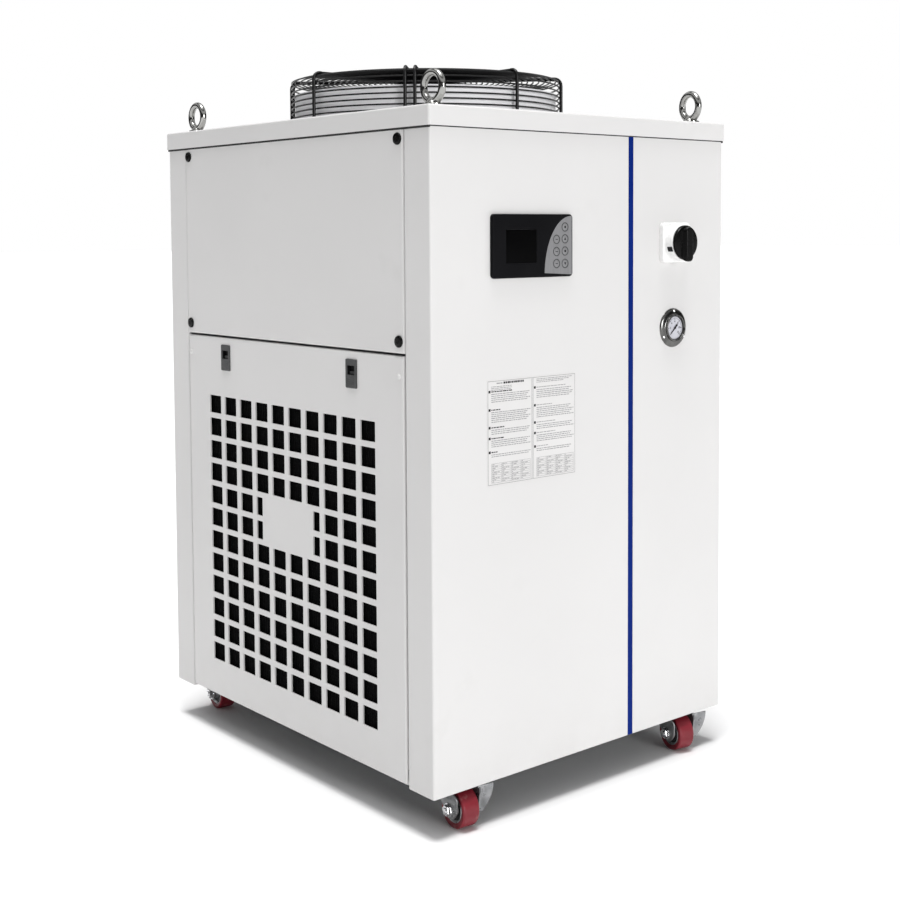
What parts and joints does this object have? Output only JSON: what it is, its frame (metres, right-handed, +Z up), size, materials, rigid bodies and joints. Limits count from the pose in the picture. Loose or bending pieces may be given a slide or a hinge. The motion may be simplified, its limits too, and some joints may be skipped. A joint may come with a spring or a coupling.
{
  "type": "air cooled water chiller",
  "caption": "Free-standing sheet-metal water chiller on swivel casters, with grille filter doors on the sides, a caged fan on the roof, lifting eyes, a controller, a rotary switch and a gauge.",
  "frame": {"origin": "centre of the footprint on the floor", "axes": "+Z up, front with the controller faces -Y, +X to the right seen from the front"},
  "size_m": [0.653, 0.832, 1.166],
  "materials": {
    "white_paint": "satin powder coat",
    "blue_paint": "satin",
    "black_paint": "semi-gloss",
    "grey_paint": "satin",
    "black_fins": "matt",
    "zinc_steel": "zinc plated",
    "bright_steel": "bright plated",
    "stainless": "brushed",
    "black_plastic": "satin",
    "screen": "gloss",
    "silver_film": "satin",
    "white_plastic": "semi-gloss",
    "dial": "matt",
    "latch_grey": "satin",
    "filter_mesh": "matt",
    "brass": "satin",
    "red_tread": "satin polyurethane"
  },
  "bodies": {
    "cabinet": {"base_plate": "white_paint", "base_rails": "white_paint", "front_main_panel": "white_paint", "front_service_panel": "white_paint", "blue_strip": "blue_paint", "back_panel": "white_paint", "roof_cap": "white_paint", "left_upper_panel": "white_paint", "right_upper_panel": "white_paint", "panel_screws": "black_plastic", "left_condenser": "black_fins", "right_condenser": "black_fins", "fan_ring": "grey_paint", "guard_side": "black_paint", "guard_top": "black_paint", "fan_motor": "black_paint", "lifting_eye_front_left": "bright_steel", "lifting_eye_front_right": "bright_steel", "lifting_eye_back_left": "bright_steel", "lifting_eye_back_right": "bright_steel", "controller_housing": "black_plastic", "controller_screen": "screen", "controller_keypad": "silver_film", "switch_base": "white_plastic", "gauge_case": "stainless", "gauge_dial": "dial", "water_inlet": "brass", "water_outlet": "brass", "cable_gland": "black_plastic", "caster_plates": "zinc_steel"},
    "fan": {"fan_rotor": "black_paint"},
    "knob": {"switch_knob": "black_plastic"},
    "left_filter_door": {"left_door": "white_paint", "left_door_latches": "latch_grey", "left_dust_filter": "filter_mesh"},
    "right_filter_door": {"right_door": "white_paint", "right_door_latches": "latch_grey", "right_dust_filter": "filter_mesh"},
    "caster_front_left": {"fork_front_left": "zinc_steel"},
    "roller_front_left": {"wheel_front_left": "red_tread"},
    "caster_front_right": {"fork_front_right": "zinc_steel"},
    "roller_front_right": {"wheel_front_right": "red_tread"},
    "caster_back_left": {"fork_back_left": "zinc_steel"},
    "roller_back_left": {"wheel_back_left": "red_tread"},
    "caster_back_right": {"fork_back_right": "zinc_steel"},
    "roller_back_right": {"wheel_back_right": "red_tread"}
  },
  "joints": [
    {"name": "fan_spin", "type": "hinge", "parent": "cabinet", "child": "fan", "pos_m": [0, 0.029, 1.109], "axis": [0, 0, 1], "continuous": true},
    {"name": "switch_turn", "type": "hinge", "parent": "cabinet", "child": "knob", "pos_m": [0.1975, -0.396, 0.876], "axis": [0, 1, 0], "range_deg": [0, 90]},
    {"name": "left_door_tilt", "type": "hinge", "parent": "cabinet", "child": "left_filter_door", "pos_m": [-0.317, 0, 0.075], "axis": [0, -1, 0], "range_deg": [0, 30]},
    {"name": "right_door_tilt", "type": "hinge", "parent": "cabinet", "child": "right_filter_door", "pos_m": [0.317, 0, 0.075], "axis": [0, 1, 0], "range_deg": [0, 30]},
    {"name": "swivel_front_left", "type": "hinge", "parent": "cabinet", "child": "caster_front_left", "pos_m": [-0.2475, -0.326, 0.077], "axis": [0, 0, 1], "continuous": true},
    {"name": "roll_front_left", "type": "hinge", "parent": "caster_front_left", "child": "roller_front_left", "pos_m": [-0.24977, -0.3519, 0.03], "axis": [0.9962, -0.0872, 0], "continuous": true},
    {"name": "swivel_front_right", "type": "hinge", "parent": "cabinet", "child": "caster_front_right", "pos_m": [0.2475, -0.326, 0.077], "axis": [0, 0, 1], "continuous": true},
    {"name": "roll_front_right", "type": "hinge", "parent": "caster_front_right", "child": "roller_front_right", "pos_m": [0.24209, -0.35143, 0.03], "axis": [0.9781, -0.2079, 0], "continuous": true},
    {"name": "swivel_back_left", "type": "hinge", "parent": "cabinet", "child": "caster_back_left", "pos_m": [-0.2475, 0.326, 0.077], "axis": [0, 0, 1], "continuous": true},
    {"name": "roll_back_left", "type": "hinge", "parent": "caster_back_left", "child": "roller_back_left", "pos_m": [-0.24478, 0.35186, 0.03], "axis": [-0.9945, 0.1045, 0], "continuous": true},
    {"name": "swivel_back_right", "type": "hinge", "parent": "cabinet", "child": "caster_back_right", "pos_m": [0.2475, 0.326, 0.077], "axis": [0, 0, 1], "continuous": true},
    {"name": "roll_back_right", "type": "hinge", "parent": "caster_back_right", "child": "roller_back_right", "pos_m": [0.24121, 0.35123, 0.03], "axis": [-0.9703, -0.2419, 0], "continuous": true}
  ]
}
